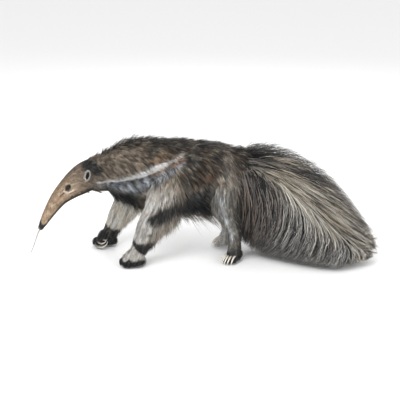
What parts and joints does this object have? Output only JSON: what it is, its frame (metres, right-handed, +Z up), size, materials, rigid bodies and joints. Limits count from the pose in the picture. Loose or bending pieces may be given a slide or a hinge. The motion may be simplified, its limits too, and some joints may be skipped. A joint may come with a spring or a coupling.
{
  "type": "giant anteater",
  "caption": "Life-size still model of an adult giant anteater walking on its knuckles, long head lowered, tongue out, bushy tail plume trailing.",
  "frame": {"origin": "on the ground, under the middle of the whole animal's bounding box, tongue and tail plume included", "axes": "+Z up, -X the way the animal faces, -Y its left side"},
  "size_m": [1.718, 0.4905, 0.6345],
  "materials": {
    "face_hair": "short tan-brown hair over skin",
    "neck_hair": "brown-grey grizzled hair",
    "body_hair": "dark brown to black bristly hair with a pale shoulder stripe",
    "foreleg_hair": "pale grey-white hair",
    "hind_leg_hair": "dark grey-brown hair",
    "tail_hair": "long coarse black, brown and grey hair",
    "ear_skin": "thin skin with a pale rim of hair",
    "eye": "wet, dark, glossy",
    "claw_horn": "satin horn",
    "tongue_skin": "wet, pale pink-grey"
  },
  "bodies": {
    "root": {"ear_left": "ear_skin", "ear_right": "ear_skin", "eye_left": "eye", "eye_right": "eye", "fore_claw_left_1": "claw_horn", "fore_claw_left_2": "claw_horn", "fore_claw_left_3": "claw_horn", "fore_claw_left_4": "claw_horn", "fore_claw_right_1": "claw_horn", "fore_claw_right_2": "claw_horn", "fore_claw_right_3": "claw_horn", "fore_claw_right_4": "claw_horn", "fore_foot_left": "foreleg_hair", "fore_foot_right": "foreleg_hair", "foreleg_left": "foreleg_hair", "foreleg_right": "foreleg_hair", "head": "face_hair", "hind_claw_left_1": "claw_horn", "hind_claw_left_2": "claw_horn", "hind_claw_left_3": "claw_horn", "hind_claw_left_4": "claw_horn", "hind_claw_left_5": "claw_horn", "hind_claw_right_1": "claw_horn", "hind_claw_right_2": "claw_horn", "hind_claw_right_3": "claw_horn", "hind_claw_right_4": "claw_horn", "hind_claw_right_5": "claw_horn", "hind_foot_left": "hind_leg_hair", "hind_foot_right": "hind_leg_hair", "hind_leg_left": "hind_leg_hair", "hind_leg_right": "hind_leg_hair", "neck": "neck_hair", "tail": "tail_hair", "tongue": "tongue_skin", "torso": "body_hair"}
  },
  "joints": []
}
